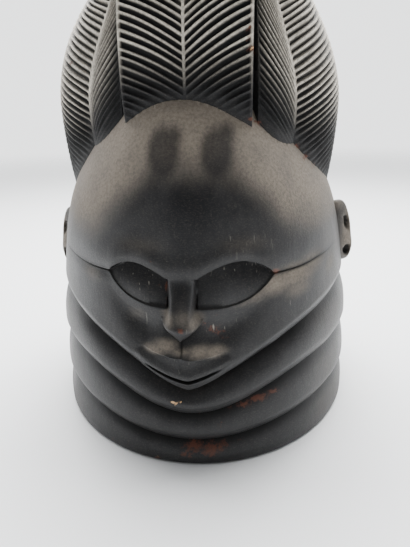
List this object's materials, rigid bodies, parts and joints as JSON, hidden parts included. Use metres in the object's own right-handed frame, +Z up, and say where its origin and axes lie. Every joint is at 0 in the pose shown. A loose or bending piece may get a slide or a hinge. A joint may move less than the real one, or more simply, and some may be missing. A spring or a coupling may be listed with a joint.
{
  "type": "sowei helmet mask",
  "caption": "Hollow carved helmet mask with a stylised face, ringed neck and tall herringbone-grooved coiffure, standing on its open neck rim.",
  "frame": {"origin": "middle of the neck's footprint, on the surface that the rim stands on", "axes": "+Z up, -Y the way the face looks, +X to the wearer's left"},
  "size_m": [0.23, 0.2629, 0.326],
  "materials": {
    "blackened_wood": "blackened, oiled, dusty on the ridges"
  },
  "bodies": {
    "root": {"sowei_mask": "blackened_wood"}
  },
  "joints": []
}
